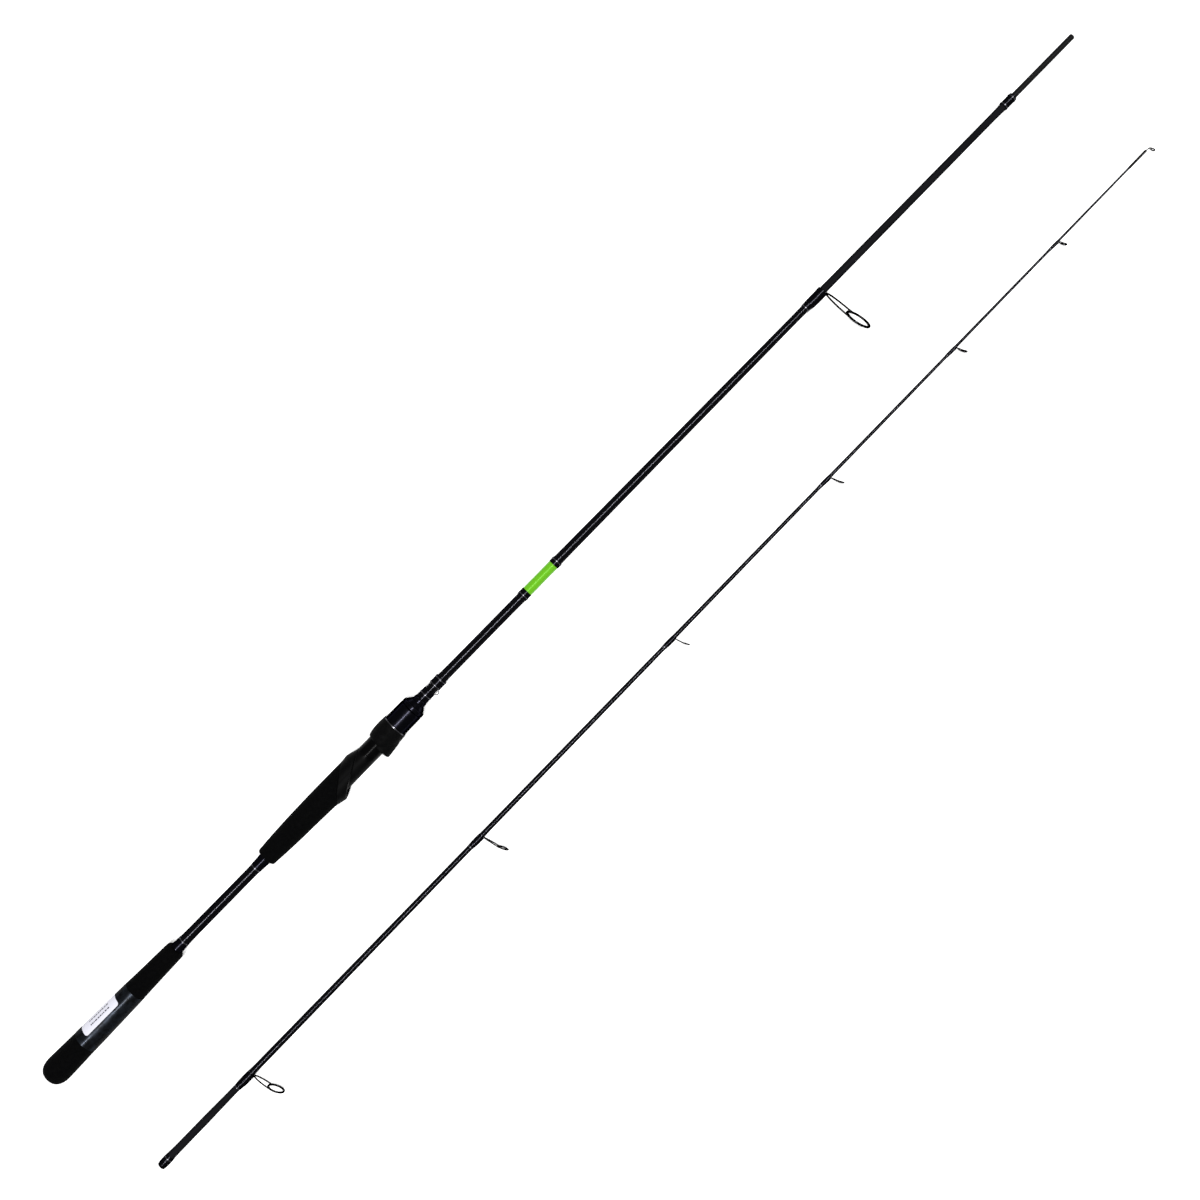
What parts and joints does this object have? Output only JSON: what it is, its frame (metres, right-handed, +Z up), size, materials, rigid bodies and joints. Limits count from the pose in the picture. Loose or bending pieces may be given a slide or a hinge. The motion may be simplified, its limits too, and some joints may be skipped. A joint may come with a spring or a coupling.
{
  "type": "spinning rod in two sections",
  "caption": "Spinning rod taken apart into a butt section with grips, reel seat and green band, and a tip section with leaning single-foot guides.",
  "frame": {"origin": "centre of the two laid-down sections, on the surface they lie on", "axes": "+X along the sections from butt to tips, -Y the side the reel and the line guides stand on, +Z up from the surface"},
  "size_m": [1.267, 0.1672, 0.025],
  "materials": {
    "carbon": "clear-coated carbon",
    "spigot": "ground carbon",
    "wrap": "epoxy over black thread",
    "silver_thread": "metallic thread",
    "eva": "matte closed-cell foam",
    "clear_film": "clear film",
    "label": "satin",
    "gloss_black": "gloss",
    "seat": "satin",
    "hood": "matte",
    "bright_ring": "polished",
    "arbor": "rigid foam",
    "green": "epoxy over green thread",
    "guide_metal": "black plated",
    "guide_ceramic": "polished"
  },
  "bodies": {
    "butt_section": {"butt_blank": "carbon", "spigot": "spigot", "ferrule_wrap": "wrap", "ferrule_rings": "silver_thread", "butt_grip": "eva", "clear_sleeve": "clear_film", "label": "label", "butt_check": "gloss_black", "butt_check_ring": "silver_thread", "grip_check": "gloss_black", "grip_check_ring": "silver_thread", "main_grip": "eva", "reel_seat": "seat", "seat_arbor_1": "arbor", "seat_arbor_2": "arbor", "seat_arbor_3": "arbor", "seat_collar": "gloss_black", "front_check": "gloss_black", "keeper_wrap_1": "wrap", "keeper_wrap_2": "wrap", "keeper_rings": "silver_thread", "hook_keeper": "guide_metal", "green_band": "green", "band_wrap_1": "wrap", "band_wrap_2": "wrap", "band_rings": "silver_thread", "stripper_frame": "guide_metal", "stripper_ring": "guide_ceramic", "stripper_wrap": "wrap"},
    "reel_hood": {"moving_hood": "hood", "hood_ring": "bright_ring"},
    "lock_nut": {"locking_nut": "gloss_black"},
    "tip_section": {"tip_blank": "carbon", "socket_wrap": "wrap", "tip_top_frame": "guide_metal", "tip_top_ring": "guide_ceramic", "guide_1_frame": "guide_metal", "guide_1_ring": "guide_ceramic", "guide_1_wrap": "wrap", "guide_2_frame": "guide_metal", "guide_2_ring": "guide_ceramic", "guide_2_wrap": "wrap", "guide_3_frame": "guide_metal", "guide_3_ring": "guide_ceramic", "guide_3_wrap": "wrap", "guide_4_frame": "guide_metal", "guide_4_ring": "guide_ceramic", "guide_4_wrap": "wrap", "guide_5_frame": "guide_metal", "guide_5_ring": "guide_ceramic", "guide_5_wrap": "wrap", "guide_6_frame": "guide_metal", "guide_6_ring": "guide_ceramic", "guide_6_wrap": "wrap"}
  },
  "joints": [
    {"name": "hood_slide", "type": "slide", "parent": "butt_section", "child": "reel_hood", "axis": [-1, 0, 0], "range_m": [0, 0.012]},
    {"name": "nut_turn", "type": "hinge", "parent": "reel_hood", "child": "lock_nut", "pos_m": [-0.19545, 0.07101, 0.0125], "axis": [-1, 0, 0], "range_deg": [0, 2160.01]},
    {"name": "tip_lift", "type": "slide", "parent": "butt_section", "child": "tip_section", "axis": [0, 0, 1], "range_m": [0, 0.1]}
  ],
  "couplings": [
    {"joint": "nut_turn", "follows": "hood_slide", "rad_per_m": 3141.6}
  ]
}
